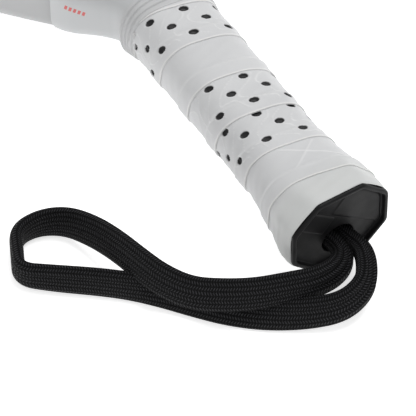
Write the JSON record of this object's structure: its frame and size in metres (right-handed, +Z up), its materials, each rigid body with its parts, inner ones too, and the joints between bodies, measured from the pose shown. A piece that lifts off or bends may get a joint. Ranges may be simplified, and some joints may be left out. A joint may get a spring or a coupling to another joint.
{
  "type": "padel racket",
  "caption": "Teardrop padel racket with a drilled foam-core face, open throat, perforated overgrip, octagonal butt cap and a braided wrist strap that turns in the cap.",
  "frame": {"origin": "centre of the racket's footprint without the strap, on the surface it lies on", "axes": "+Y along the handle from the butt to the tip of the head, +X to the right seen from the butt, +Z up out of the hitting face"},
  "size_m": [0.26, 0.4789, 0.038],
  "materials": {
    "frame": "light grey satin lacquer over laminate",
    "face": "light grey satin face with a fine rough grain",
    "core": "off-white closed-cell foam",
    "yoke": "light grey satin moulding",
    "damper": "black elastomer",
    "protector": "grey protective strip",
    "collar": "light grey ribbed elastomer",
    "overgrip": "light grey perforated polyurethane tape",
    "undergrip": "black cushion grip",
    "tape": "light grey finishing tape",
    "laminate": "dark fibre laminate",
    "filler": "grey damping foam",
    "cap": "black satin moulded plastic",
    "pin": "plain steel",
    "cord": "black braided polyester"
  },
  "bodies": {
    "racket": {"frame_tube": "frame", "throat_bridge": "frame", "foam_core": "core", "face_skin_top": "face", "face_skin_bottom": "face", "edge_protector": "protector", "throat_yoke": "yoke", "vibration_damper": "damper", "handle_laminate": "laminate", "handle_foam": "filler", "butt_plug": "cap", "butt_cap": "cap", "cap_pins": "pin", "base_grip": "undergrip", "grip_wrap": "overgrip", "finishing_tape": "tape", "grip_collar": "collar"},
    "strap": {"wrist_strap": "cord", "strap_knot": "cord"}
  },
  "joints": [
    {"name": "strap_turn", "type": "hinge", "parent": "racket", "child": "strap", "pos_m": [0, -0.2255, 0.012], "axis": [0, 1, 0], "range_deg": [0, 180]}
  ]
}
